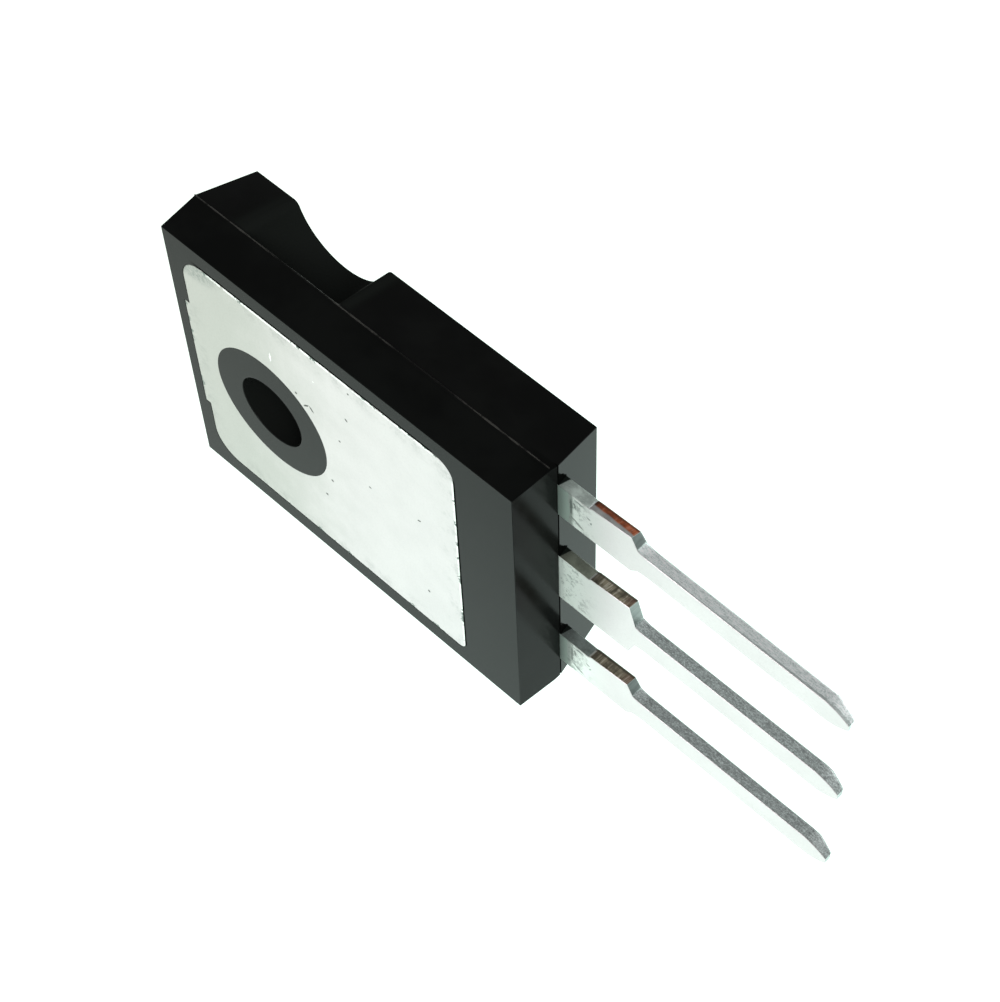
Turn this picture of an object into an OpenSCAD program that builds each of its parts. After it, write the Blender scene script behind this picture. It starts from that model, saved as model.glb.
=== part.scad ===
// Three-lead power transistor: a moulded body round a copper header, with flat leads.
// It stands on one long side. X runs towards the lead tips, Y from the bare tab to the
// front face, and Z is up. The origin is on the mounting hole's axis, in the tab's face.
// The hardest form is the header: a thick tab and a thin lead stamped as one piece, with
// a locking lip, a wide hole and a bend that lifts the lead out of the tab's own plane.

/* [Moulding] */
// Length of the moulding along the leads, at its parting line
body_length = 20.04; // [19:0.01:22]
// Width of the moulding across the leads, at its parting line
body_width = 15.6; // [15.2:0.1:18]
// Thickness of the moulding, from the tab's face to the front
body_height = 4.95; // [4.6:0.05:5.6]
// Distance from the mounting hole's centre to the top end
hole_to_top = 5.57; // [5.2:0.01:6.2]
// Diameter of the mounting hole
hole_d = 3.6; // [3:0.05:4.4]
// Slope of the half behind the parting line, degrees
rear_draft = 3.8; // [1:0.1:5]
// Slope of the long sides in front of the parting line, degrees
side_draft = 11.9; // [3:0.1:13]
// Slope of the top end in front of the parting line, degrees
top_draft = 8.5; // [3:0.1:12]
// Slope of the lead end in front of the parting line, degrees
end_draft = 9.3; // [3:0.1:12]

/* [Notches and marks] */
// Radius of the half-round notch in each long side, at the front
notch_r = 2.75; // [2:0.05:3]
// Slope of the notch's wall, degrees
notch_draft = 1.5; // [0.5:0.1:4]
// Diameter of the round ejector marks on the front
mark_d = 1.8; // [1:0.1:2.4]
// Depth of the ejector marks
mark_depth = 0.1; // [0.05:0.01:0.2]
// Distance of the ejector marks from the lead end and from the long sides
mark_inset = 2.6; // [2.2:0.1:3.5]

/* [Tab] */
// Thickness of the tab, which sets the parting line on the sides
tab_t = 2.0; // [1.8:0.05:2.2]
// Compound between the tab's top edge and the moulding's top end
tab_top_margin = 1.02; // [0.8:0.01:1.5]
// Compound between the tab's lead end and the moulding's lead end
tab_lead_margin = 3.35; // [3.2:0.01:4]
// Compound between the tab's long edges and the moulding's long sides
tab_side_margin = 1.1; // [0.9:0.05:1.5]
// Diameter of the hole in the tab, which shows as a ring of compound
tab_hole_d = 6.7; // [6:0.1:7.4]
// Corner radius at the tab's top end
tab_top_r = 1.4; // [0.5:0.1:2]
// Corner radius at the tab's lead end, on the gate's side
tab_gate_r = 0.9; // [0.2:0.05:1.5]
// Corner radius at the tab's lead end, on the source's side
tab_source_r = 0.35; // [0.2:0.05:1.5]
// Width of the tongue that held the tab in its strip
tongue_width = 7.7; // [4:0.1:9]
// How far the tongue stands out of the tab's top edge
tongue_out = 0.23; // [0.1:0.01:0.4]
// Width of the locking lip round the tab
lip_width = 0.35; // [0.2:0.05:0.45]
// Thickness of the locking lip
lip_t = 0.8; // [0.5:0.05:1.2]

/* [Leads] */
// Distance between the leads' centre lines
pitch = 5.45; // [5.3:0.01:5.6]
// Thickness of the leads
lead_t = 0.6; // [0.4:0.05:0.8]
// Height of the leads' back faces over the tab's face
lead_plane = 2.33; // [2.2:0.01:2.45]
// Length of the leads outside the moulding
lead_length = 14.35; // [12:0.05:16]
// Width of the outer leads next to the moulding
outer_neck = 2.0; // [1.8:0.05:2.4]
// Width of the centre lead next to the moulding
centre_neck = 3.0; // [2.6:0.05:3.3]
// Width of the narrow part of each lead
lead_width = 1.2; // [1:0.05:1.4]
// Distance from the moulding to the dam bar's cut
dam_start = 1.58; // [1.2:0.02:2]
// Distance from the moulding to the shoulder
shoulder_at = 3.73; // [3.2:0.01:4.3]
// Length of the sloped shoulder
shoulder_run = 0.35; // [0.2:0.05:0.6]
// Height of the dam bar's stub at its end next to the moulding
dam_stub_near = 0.1; // [0.05:0.01:0.2]
// Height of the dam bar's stub at the shoulder
dam_stub_far = 0.26; // [0.1:0.01:0.3]
// Radius between the shoulder and the narrow part
shoulder_r = 0.5; // [0.2:0.05:0.8]
// Length of the pointed tip
tip_length = 1.15; // [0.6:0.05:1.6]
// Width of the tip's blunt end
tip_width = 0.34; // [0.2:0.02:0.6]

/* [Inside the moulding] */
// Length of an outer lead's bond pad
pad_length = 1.75; // [1.4:0.05:1.9]
// Width of an outer lead's bond pad
pad_width = 3.3; // [2.8:0.1:3.4]
// Gap between the tab's lip and the bond pads
pad_gap = 0.5; // [0.4:0.05:0.7]
// Radius of the locking notches in the outer leads' necks
anchor_r = 0.25; // [0.15:0.05:0.3]
// Slope of the bend that lifts the centre lead, degrees
bend_angle = 45; // [35:1:55]
// Width of the die
die_width = 6.2; // [4:0.1:7]
// Thickness of the die
die_t = 0.25; // [0.15:0.01:0.35]
// Thickness of the solder under the die
solder_t = 0.08; // [0.05:0.01:0.12]
// How far the solder shows round the die
solder_edge = 0.15; // [0.05:0.05:0.3]
// Gap between the hole in the tab and the solder
hole_gap = 1.5; // [0.8:0.1:1.8]
// Gap between the solder and the tab's lead end
end_gap = 0.77; // [0.5:0.01:2]
// Distance of the gate wire's foot from the die's edges
gate_bond_inset = 0.5; // [0.3:0.05:0.8]
// Distance of the source wires' feet from the die's edge on the lead side
source_bond_inset = 1.56; // [0.9:0.02:2]
// Distance of the first source wire from the die's middle line
source_bond_z = 0.5; // [0:0.05:0.8]
// Diameter of the source wires
source_wire_d = 0.38; // [0.25:0.01:0.5]
// Diameter of the gate wire
gate_wire_d = 0.18; // [0.12:0.01:0.25]
// Distance between the source wires
wire_pitch = 0.95; // [0.8:0.05:1]
// Half the angle that a wire's arc turns through, degrees
wire_arc = 40; // [32:1:48]

/* [Hidden] */
$fn = 96;

source_wires = 3;
over = 1;                                   // how far a cutter runs past what it cuts
top_x = -hole_to_top;
end_x = body_length - hole_to_top;
half_w = body_width / 2;
rear_in = tab_t * tan(rear_draft);
side_in = (body_height - tab_t) * tan(side_draft);
top_in = (body_height - tab_t) * tan(top_draft);
end_rear_in = lead_plane * tan(rear_draft);
end_front_in = (body_height - lead_plane) * tan(end_draft);

tab_x0 = top_x + tab_top_margin;            // the tab's top edge beside the tongue
tab_x1 = end_x - tab_lead_margin;
tab_half_w = half_w - tab_side_margin;
lip_x1 = tab_x1 + lip_width;

tip_x = end_x + lead_length;
lead_front = lead_plane + lead_t;
bend_x0 = lip_x1 + pad_gap;
bend_x1 = bend_x0 + (lead_plane - tab_t + lead_t) / tan(bend_angle);
bend_shift = lead_t * tan(bend_angle / 2);

pad_x0 = bend_x0;
pad_x1 = pad_x0 + pad_length;
pad_r = 0.2;                                // corner radius of the bond pads
shoulder_lead_in = 0.4 * shoulder_r;        // height that the hollow curve takes up

die_x0 = tab_hole_d / 2 + hole_gap + solder_edge;
die_length = tab_x1 - end_gap - solder_edge - die_x0;
die_top = tab_t + solder_t + die_t;
bond_x = (pad_x0 + pad_x1) / 2;             // where the wires land on the bond pads
source_start_x = die_x0 + die_length - source_bond_inset;
gate_start_x = die_x0 + die_length - gate_bond_inset;
gate_start_z = die_width / 2 - gate_bond_inset;
foot_shape = [2.4, 0.8, 1.5];               // a wire's foot, in wire diameters

// Puts a drawing of the XZ plane between two heights over the tab's face.
module slab(y0, y1)
    translate([0, y1, 0]) rotate([90, 0, 0]) linear_extrude(y1 - y0) children();

// A round bar along Y, with its own radius at each end.
module bar_y(x, z, y0, y1, r0, r1)
    translate([x, y1, z]) rotate([90, 0, 0]) cylinder(h = y1 - y0, r1 = r1, r2 = r0);

// Points on an arc, from angle a0 to a1.
function arc(cx, cy, r, a0, a1, steps = 8) =
    [for (i = [0:steps]) let (a = a0 + (a1 - a0) * i / steps) [cx + r * cos(a), cy + r * sin(a)]];

// The body's form seen along the leads, with its widest line at the tab's front plane.
module end_view()
    polygon([[0, half_w - rear_in], [tab_t, half_w], [body_height, half_w - side_in],
             [body_height, side_in - half_w], [tab_t, -half_w], [0, rear_in - half_w]]);

// The body's form seen from the long side: at the lead end the widest line is where the
// leads come out.
module side_view()
    polygon([[top_x + rear_in, 0], [top_x, tab_t], [top_x + top_in, body_height],
             [end_x - end_front_in, body_height], [end_x, lead_plane], [end_x - end_rear_in, 0]]);

module body_form()
    intersection() {
        translate([0, 0, -half_w - over]) linear_extrude(body_width + 2 * over) side_view();
        translate([top_x - over, 0, 0]) rotate([90, 0, 90])
            linear_extrude(body_length + 2 * over) end_view();
    }

module notch(side)
    bar_y(0, side * half_w, tab_t, body_height + over,
          notch_r - (body_height - tab_t) * tan(notch_draft), notch_r + over * tan(notch_draft));

module ejector_mark(side)
    bar_y(end_x - mark_inset, side * (half_w - mark_inset), body_height - mark_depth,
          body_height + over, mark_d / 2, mark_d / 2);

module moulding() {
    color([0.07, 0.07, 0.07]) difference() {
        body_form();
        bar_y(0, 0, -over, body_height + over, hole_d / 2, hole_d / 2);
        for (side = [-1, 1]) {
            notch(side);
            ejector_mark(side);
        }
        header();
        outer_lead(1);
        outer_lead(-1);
        die();
        die_solder();
        gate_wire();
        for (i = [0:source_wires - 1]) source_wire(i);
    }
}

// What a rounded corner loses from a square one; sx and sz say which corner it is.
module corner_cut(x, z, sx, sz, r)
    translate([x, z]) scale([sx, sz]) difference() {
        translate([-r, -r]) square(r + over);
        translate([-r, -r]) circle(r);
    }

// The tab's outline, grown by the same width on every side.
module tab_outline(grow) {
    half = tab_half_w + grow;
    difference() {
        translate([tab_x0 - grow, -half]) square([tab_x1 - tab_x0 + 2 * grow, 2 * half]);
        corner_cut(tab_x0 - grow, half, -1, 1, tab_top_r + grow);
        corner_cut(tab_x0 - grow, -half, -1, -1, tab_top_r + grow);
        corner_cut(tab_x1 + grow, half, 1, 1, tab_gate_r + grow);
        corner_cut(tab_x1 + grow, -half, 1, -1, tab_source_r + grow);
    }
    translate([tab_x0 - grow - tongue_out, -tongue_width / 2])
        square([tongue_out + over, tongue_width]);
}

// Half of a lead outside the moulding, on the side that the dam bar was cut from: side 1
// keeps its stub, side -1 was sheared flush. The narrow part meets the shoulder in a
// hollow curve and closes to the tip in a pointed arch.
function lead_edge(neck, side) =
    let (near = side > 0 ? dam_stub_near : 0, far = side > 0 ? dam_stub_far : 0,
         x1 = end_x + shoulder_at, half = lead_width / 2,
         fall = half - tip_width / 2,
         arch_r = (tip_length * tip_length + fall * fall) / (2 * fall),
         arch_a = asin(tip_length / arch_r),
         slope = atan2(neck / 2 + far - half - shoulder_lead_in, shoulder_run))
    concat(
        side > 0 ? [[end_x + dam_start, neck / 2], [end_x + dam_start, neck / 2 + near]] : [],
        [[x1, neck / 2 + far]],
        arc(x1 + shoulder_run + shoulder_r * sin(slope), half + shoulder_r, shoulder_r,
            270 - slope, 270, 6),
        arc(tip_x - tip_length, half - arch_r, arch_r, 90, 90 - arch_a, 8));

function flip(points) = [for (i = [len(points) - 1:-1:0]) [points[i][0], -points[i][1]]];

// A whole lead seen from its back, from a place inside the moulding to its tip.
module lead_outline(x0, neck)
    polygon(concat([[x0, -neck / 2], [x0, neck / 2]], lead_edge(neck, 1), flip(lead_edge(neck, -1))));

// The centre lead seen from the long side: it leaves the tab's front gauge, climbs to
// the leads' plane and runs straight out.
module centre_profile()
    polygon([[tab_x1 - over, tab_t - lead_t], [bend_x0, tab_t - lead_t], [bend_x1, lead_plane],
             [tip_x + over, lead_plane], [tip_x + over, lead_front],
             [bend_x1 - bend_shift, lead_front], [bend_x0 - bend_shift, tab_t],
             [tab_x1 - over, tab_t]]);

module header() {
    color([0.86, 0.87, 0.88]) {
        difference() {
            union() {
                slab(0, tab_t) tab_outline(0);
                slab(tab_t - lip_t, tab_t) tab_outline(lip_width);
            }
            bar_y(0, 0, -over, tab_t + over, tab_hole_d / 2, tab_hole_d / 2);
        }
        intersection() {
            translate([0, 0, -centre_neck]) linear_extrude(2 * centre_neck) centre_profile();
            slab(0, body_height) lead_outline(tab_x1 - over, centre_neck);
        }
    }
}

// An outer lead: side 1 is the gate's, above the centre lead, and side -1 the source's.
module outer_lead(side) {
    z = side * pitch;
    color([0.80, 0.81, 0.82]) slab(lead_plane, lead_front) difference() {
        union() {
            translate([0, z]) lead_outline(pad_x0 + pad_r, outer_neck);
            bond_pad(z - side * (pad_width - outer_neck) / 2);
        }
        for (edge = [-1, 1])
            translate([(pad_x1 + end_x) / 2, z + edge * outer_neck / 2]) circle(anchor_r);
    }
}

// The wide end of an outer lead, which reaches in towards the centre lead.
module bond_pad(z)
    polygon(concat(
        arc(pad_x1 - pad_r, z + pad_width / 2 - pad_r, pad_r, 90, 0),
        arc(pad_x1 - pad_r, z - pad_width / 2 + pad_r, pad_r, 0, -90),
        arc(pad_x0 + pad_r, z - pad_width / 2 + pad_r, pad_r, -90, -180),
        arc(pad_x0 + pad_r, z + pad_width / 2 - pad_r, pad_r, 180, 90)));

module die_solder() {
    color([0.62, 0.63, 0.66]) slab(tab_t, tab_t + solder_t)
        translate([die_x0 - solder_edge, -die_width / 2 - solder_edge])
            square([die_length + 2 * solder_edge, die_width + 2 * solder_edge]);
}

module die() {
    color([0.33, 0.36, 0.42]) slab(tab_t + solder_t, die_top)
        translate([die_x0, -die_width / 2]) square([die_length, die_width]);
}

// A wire from the die's face to a bond pad's face, in one upright arc. Each end dips
// into a foot that is welded down.
module bond_wire(x0, z0, x1, z1, d) {
    run = norm([x1 - x0, z1 - z0]);
    rise = lead_front - die_top;
    chord = norm([run, rise]);
    r = chord / (2 * sin(wire_arc));
    foot = d * foot_shape;
    translate([x0, die_top, z0]) rotate([0, -atan2(z1 - z0, x1 - x0), 0]) {
        translate([0, foot[1] / 2, 0]) rotate([0, 0, atan2(rise, run)])
            translate([chord / 2, -r * cos(wire_arc), 0]) rotate([0, 0, 90 - wire_arc])
                rotate_extrude(angle = 2 * wire_arc) translate([r, 0]) circle(d / 2, $fn = 24);
        for (place = [[0, 0], [run, rise]])
            translate([place[0] - foot[0] / 2, place[1], -foot[2] / 2]) cube(foot);
    }
}

module gate_wire() {
    color([0.88, 0.88, 0.86])
        bond_wire(gate_start_x, gate_start_z, bond_x, pitch - outer_neck / 2, gate_wire_d);
}

module source_wire(i) {
    across = (i - (source_wires - 1) / 2) * wire_pitch;
    color([0.88, 0.88, 0.86])
        bond_wire(source_start_x, -source_bond_z - i * wire_pitch, bond_x,
                  -pitch + (pad_width - outer_neck) / 2 - across, source_wire_d);
}

moulding();
header();
outer_lead(1);  // gate_lead
outer_lead(-1);  // source_lead
die();
die_solder();
gate_wire();
source_wire(0);  // source_wire_1
source_wire(1);  // source_wire_2
source_wire(2);  // source_wire_3
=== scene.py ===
"""A power transistor with three flat leads: its finished surfaces, laid over the CAD frame.

Each operator makes one piece, or a group of like pieces, or the stage. Shapes are
modelled in millimetres and scaled to metres when they are finished.
"""

import math
from types import SimpleNamespace

import bmesh
import bpy
from bpy.props import FloatProperty, FloatVectorProperty, IntProperty, PointerProperty
from mathutils import Matrix, Vector, noise


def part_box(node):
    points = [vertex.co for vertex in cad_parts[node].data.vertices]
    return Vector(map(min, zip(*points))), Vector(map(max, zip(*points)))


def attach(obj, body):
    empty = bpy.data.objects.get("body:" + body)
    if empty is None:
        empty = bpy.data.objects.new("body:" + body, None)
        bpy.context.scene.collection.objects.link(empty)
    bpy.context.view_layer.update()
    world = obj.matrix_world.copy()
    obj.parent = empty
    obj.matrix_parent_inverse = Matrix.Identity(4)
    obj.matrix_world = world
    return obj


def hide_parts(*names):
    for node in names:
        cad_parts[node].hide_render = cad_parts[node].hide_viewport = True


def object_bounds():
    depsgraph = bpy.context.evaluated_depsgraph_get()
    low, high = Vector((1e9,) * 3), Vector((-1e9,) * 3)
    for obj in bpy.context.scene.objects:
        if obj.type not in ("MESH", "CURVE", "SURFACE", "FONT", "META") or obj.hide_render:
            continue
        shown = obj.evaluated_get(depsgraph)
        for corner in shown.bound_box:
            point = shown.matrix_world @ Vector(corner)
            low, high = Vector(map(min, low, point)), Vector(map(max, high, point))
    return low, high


bl_info = {
    "name": "Power Transistor",
    "version": (1, 0, 0),
    "blender": (4, 5, 0),
    "location": "View3D > Sidebar > Transistor",
    "description": "Builds a moulded power transistor with a bare tab and three flat leads",
    "category": "Add Mesh",
}

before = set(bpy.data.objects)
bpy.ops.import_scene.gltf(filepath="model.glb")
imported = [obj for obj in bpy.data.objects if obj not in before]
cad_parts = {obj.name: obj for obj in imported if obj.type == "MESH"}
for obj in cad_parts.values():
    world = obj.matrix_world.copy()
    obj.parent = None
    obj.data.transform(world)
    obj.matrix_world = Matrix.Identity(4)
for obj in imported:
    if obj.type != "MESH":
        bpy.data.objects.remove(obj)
CAD_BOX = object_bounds()
MM = 1000.0
OVER = 1.0  # how far a cutter runs past what it cuts
WELD = 0.0005  # vertices closer than this are one
CREASE = 34  # degrees; sharper edges stay sharp
FLAT_CREASE = 5  # the same, between two faces larger than FLAT_AREA
FLAT_AREA = 0.6  # square millimetres
MOUTH_STEPS = 6  # segments of the notch's rounded mouth
WALL_STEPS = 40  # segments of the notch's round wall
ARCH_SHARE = 0.98  # how much of a lead tip's arch its curve takes up
BLOCK_ROOM = 2.0  # how much larger the block is than the body that is cut out of it
FLASH_DEPTH = 0.15  # whole depth of the flash, most of it inside the body
FLOOR_DROP = 3  # the floor lies this many flash heights below the CAD box
BEND_DEPTH = 1.5  # how deep inside the body the centre lead's bend starts
TAB_LAP = 0.5  # how far the centre lead runs into the tab
PAD_DEPTH = 0.8  # how deep inside the body the outer leads' bond pads start
PAD_LAP = 0.3  # how far an outer lead runs into its bond pad
PAD_CORNER = (0.2, 4)  # offset and segments of the bond pads' round corners

# Linear colours of small marks, and of painted highlight and painted shade
# rubbed nicks on the tab, and the painted highlight along its rim
RUBBED_TIN_AND_HIGHLIGHT = (0.99, 0.99, 0.97, 1)
# painted shade on the tab, stronger towards the body's top end
PAINTED_TAB_SHADE = (0.4, 0.41, 0.37, 1)
SCRATCH = (0.04, 0.04, 0.035, 1)
# painted shade in the corner where each lead's stamped edge meets the body
PAINTED_ROOT_SHADE = (0.008, 0.011, 0.009, 1)
FLASH = (0.004, 0.004, 0.004, 1)
WORN_FLASH = (0.031, 0.03, 0.027, 1)
PALE_RIB = (0.6, 0.56, 0.46, 1)
RED_COPPER = (0.2, 0.08, 0.06, 1)
TINNED_EDGE = (0.5, 0.52, 0.48, 1)
BURNISHED_DARK = (0.2, 0.2, 0.19, 1)
BURNISHED_LIGHT = (0.62, 0.63, 0.62, 1)


def length(name, description, millimetres):
    """A length property, stored in metres."""
    value = millimetres / MM
    return FloatProperty(name=name, description=description, default=value, unit="LENGTH", precision=5)


def angle(name, description, degrees):
    """An angle property, stored in radians."""
    value = math.radians(degrees)
    return FloatProperty(name=name, description=description, default=value, subtype="ANGLE")


def colour(name, description, rgb):
    """A linear colour property."""
    return FloatVectorProperty(
        name=name, description=description, default=rgb, size=3, subtype="COLOR", min=0, max=1,
    )


def factor(name, description, value, top=1.0):
    """A plain number from 0 to top."""
    return FloatProperty(
        name=name, description=description, default=value, min=0, max=top, subtype="FACTOR",
    )


class MouldingSizes(bpy.types.PropertyGroup):
    """Sizes of the moulded body that its box doesn't give."""

    parting: length("Parting line", "Height of the parting line on the long sides", 2.0)
    rear_draft: angle("Rear draft", "Slope of the sides behind the parting line", 3.8)
    side_draft: angle("Side draft", "Slope of the long sides in front of the parting line", 11.9)
    top_draft: angle("Top draft", "Slope of the top end in front of the parting line", 8.5)
    end_draft: angle("Lead end draft", "Slope of the lead end in front of the parting line", 9.3)
    edge: length("Edge radius", "Rounding of the body's edges", 0.03)
    hole_r: length("Hole radius", "Radius of the mounting hole", 1.8)
    notch_r: length("Notch radius", "Radius of the side notches at the front", 2.75)
    notch_draft: angle("Notch draft", "Slope of the notch's wall", 1.5)
    notch_mouth: length("Notch mouth", "Rounding of the notch's mouth", 0.42)
    hole_rim: length("Hole rim", "Rounding of the hole's edges", 0.05)
    mark_r: length("Mark radius", "Radius of the ejector marks", 0.9)
    mark_depth: length("Mark depth", "Depth of the ejector marks", 0.1)
    mark_inset: length("Mark inset", "Distance of the ejector marks from the body's edges", 2.6)
    groove: length("End groove", "Depth of the groove that the mould leaves between the leads", 0.2)
    groove_width: length("Groove width", "Width of that groove", 0.08)
    flash: length("Flash height", "How far the flash stands out of the parting line", 0.035)
    flash_width: length("Flash width", "Width of the flash across the parting line", 0.095)
    flash_stop: length("Flash stop", "Where the flash stops before the lead end", 0.12)
    flash_swell: length("Flash swell", "Distance between the thick places of the flash", 8.0)


class TabSizes(bpy.types.PropertyGroup):
    """Sizes of the bare metal tab."""

    thickness: length("Thickness", "Thickness of the tab", 2.0)
    top_margin: length("Top margin", "Compound between the tab and the top end", 1.02)
    lead_margin: length("Lead margin", "Compound between the tab and the lead end", 3.35)
    side_margin: length("Side margin", "Compound between the tab and the long sides", 1.1)
    hole_r: length("Hole radius", "Radius of the hole in the tab", 3.35)
    top_r: length("Top corners", "Corner radius at the top end", 1.4)
    gate_r: length("Gate corner", "Corner radius at the lead end, on the gate's side", 0.9)
    source_r: length("Source corner", "Corner radius at the lead end, on the source's side", 0.35)
    tongue_width: length("Tongue width", "Width of the tongue that held the tab in its strip", 7.7)
    tongue_out: length("Tongue height", "How far the tongue stands out of the top edge", 0.29)
    lip_width: length("Lip width", "Width of the locking lip", 0.35)
    lip_thickness: length("Lip thickness", "Thickness of the locking lip", 0.8)
    rim: length("Rim", "Rounding of the tab's bare edge", 0.06)
    bleed: length("Bleed line", "Width of the dull line beside the tab's upper edge", 0.1)


class LeadSizes(bpy.types.PropertyGroup):
    """Sizes of the three leads."""

    pitch: length("Pitch", "Distance between the leads' centre lines", 5.45)
    outer_neck: length("Outer neck", "Width of the outer leads next to the body", 2.0)
    centre_neck: length("Centre neck", "Width of the centre lead next to the body", 3.0)
    width: length("Narrow width", "Width of the narrow part", 1.2)
    dam_start: length("Dam bar", "Distance from the body to the dam bar's cut", 1.58)
    dam_step: length("Dam bar step", "Length of the slope where the cut begins", 0.12)
    shoulder_at: length("Shoulder", "Distance from the body to the shoulder", 3.73)
    shoulder_run: length("Shoulder run", "Length of the sloped shoulder", 0.33)
    shoulder_foot: length("Shoulder foot", "Height of the crease at the shoulder's foot", 0.1)
    foot_run: length("Foot run", "Length of the gentle curve beyond the crease", 0.4)
    stub_near: length("Near stub", "Height of the dam bar's stub next to the body", 0.1)
    stub_far: length("Far stub", "Height of the dam bar's stub at the shoulder", 0.26)
    tip_length: length("Tip length", "Length of the pointed tip", 1.15)
    tip_width: length("Tip width", "Width of the tip's blunt end", 0.34)
    thin_length: length("Thinned length", "Length of the thinned end", 0.72)
    tip_thinning: length("Tip thinning", "How much thinner the lead is at its very end", 0.18)
    bend_angle: angle("Bend", "Slope of the bend in the centre lead", 45)
    burr: length("Burr edge", "Rounding of the edges on the burr side", 0.02)
    gate_roll: length("Gate roll", "Rounding of the gate lead's front edges by the punch", 0.15)
    drain_roll: length("Drain roll", "Rounding of the centre lead's front edges by the punch", 0.14)
    source_roll: length("Source roll", "Rounding of the source lead's front edges by the punch", 0.12)
    gate_lean: length("Gate lean", "How far the gate lead's dam bar cut leans", 0.16)
    other_lean: length("Other lean", "How far the other dam bar cuts lean", 0.08)
    gate_bend: length("Gate bend", "How far the gate lead's tip is bent back", 0.11)


class Finishes(bpy.types.PropertyGroup):
    """Colours and gloss of the surfaces."""

    compound: colour("Compound", "Moulding compound", (0.0029, 0.0033, 0.003))
    compound_roughness: factor("Compound roughness", "Roughness of the moulding compound", 0.16)
    compound_index: factor("Compound index", "Refractive index of its resin skin", 1.13, 3.0)
    tin: colour("Tin", "Plated metal", (0.68, 0.63, 0.64))
    tin_roughness: factor("Tin roughness", "Roughness of the plated metal", 0.36)
    stamped: colour("Stamped edge", "Plated metal on the stamped edges", (0.485, 0.535, 0.525))
    copper: colour("Copper", "Sheared copper of the gate lead's dam bar", (0.42, 0.115, 0.045))
    bronze: colour("Bronze", "Tarnished copper of the other dam bar cuts", (0.3, 0.27, 0.195))
    stain: colour("Stain", "Stained tin next to the body", (0.86, 0.93, 0.87))
    film: colour("Resin film", "Film of resin on the leads next to the body", (0.19, 0.235, 0.21))
    gate_film: colour("Gate film", "Film on the gate lead's edge", (0.32, 0.375, 0.345))
    drain_film: colour("Drain film", "Film on the centre lead's edge", (0.125, 0.14, 0.11))
    source_film: colour("Source film", "Film on the source lead's edge", (0.12, 0.145, 0.135))


class StageSettings(bpy.types.PropertyGroup):
    """Camera, floor and light."""

    azimuth: angle("Azimuth", "Direction the camera looks in, from +Y towards +X", -46.58)
    elevation: angle("Elevation", "How far above the horizon the camera stands", 55.68)
    roll: angle("Roll", "Turn of the camera about its own axis", -2.85)
    distance: length("Distance", "Distance from the camera to the point it aims at", 95.97)
    aim_x: length("Aim X", "Place the camera aims at", 11.05)
    aim_y: length("Aim Y", "Place the camera aims at", 2.5)
    aim_z: length("Aim Z", "Place the camera aims at", 1.79)
    lens: FloatProperty(
        name="Lens", description="Focal length on a 36 mm sensor", default=86.32, unit="CAMERA",
    )
    floor_size: length("Floor size", "Side of the floor", 3000)
    floor_left: colour("Floor, left", "Glow of the pale floor at the body's top end", (0.7, 0.79, 0.71))
    floor_right: colour("Floor, right", "Glow of the pale floor under the leads", (0.82, 1.0, 0.93))
    floor_glow: factor("Floor glow", "Strength of the floor's glow", 1.3, 5.0)
    room_dark: factor("Room, dark side", "Brightness of the room beyond the leads", 0.17, 5.0)
    room_light: factor("Room, light side", "Brightness of the room above the body's top end", 0.41, 5.0)
    seed: IntProperty(name="Seed", description="Seed of the small irregularities", default=3)


def chosen(part):
    """The sidebar's values for one part, with its lengths in millimetres."""
    group = getattr(bpy.context.scene, "transistor_" + part)
    values = {}
    for name in group.__annotations__:
        value = getattr(group, name)
        is_length = group.bl_rna.properties[name].unit == "LENGTH"
        values[name] = value * MM if is_length else value
    return SimpleNamespace(**values)


def body_box():
    """The moulding's box in millimetres, as (lowest corner, highest corner)."""
    low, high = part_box("moulding")
    return low * MM, high * MM


def lead_heights():
    """The heights of the leads' back and front faces over the tab's face."""
    low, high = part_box("gate_lead")
    return low.y * MM, high.y * MM


# Mesh tools


def only(kind, geometry):
    """The vertices, edges or faces among mixed geometry."""
    return [item for item in geometry if isinstance(item, kind)]


def everything(bm):
    """All vertices, edges and faces."""
    return bm.verts[:] + bm.edges[:] + bm.faces[:]


def turned_out(bm):
    """Turns every face outwards."""
    bmesh.ops.recalc_face_normals(bm, faces=bm.faces[:])
    return bm


def extruded(bm, faces, step, keep=False):
    """Extrudes faces by a step and gives the new ones. The old ones stay where keep is set."""
    made = bmesh.ops.extrude_face_region(bm, geom=faces)["geom"]
    if not keep:
        bmesh.ops.delete(bm, geom=faces, context="FACES")
    bmesh.ops.translate(bm, verts=only(bmesh.types.BMVert, made), vec=step)
    return only(bmesh.types.BMFace, made)


def drawn_plate(points, y0, y1, radii):
    """A plate between two heights, from an outline of (x, z) points. radii lists the
    points to round, each as (index, (offset, segments))."""
    bm = bmesh.new()
    corners = [bm.verts.new((x, y0, z)) for x, z in points]
    bm.faces.new(corners)
    for index, (offset, segments) in radii:
        bmesh.ops.bevel(
            bm, geom=[corners[index]], offset=offset, segments=segments, profile=0.5,
            affect="VERTICES", material=-1, clamp_overlap=True,
        )
    extruded(bm, bm.faces[:1], (0, y1 - y0, 0), keep=True)
    return turned_out(bm)


def bar_along_y(x, z, y0, y1, r0, r1, segments=96):
    """A round bar along Y with its own radius at each end."""
    bm = bmesh.new()
    turn = Matrix.Translation((x, (y0 + y1) / 2, z)) @ Matrix.Rotation(-math.pi / 2, 4, "X")
    bmesh.ops.create_cone(
        bm, cap_ends=True, segments=segments, radius1=r0, radius2=r1, depth=y1 - y0, matrix=turn,
    )
    return bm


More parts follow.
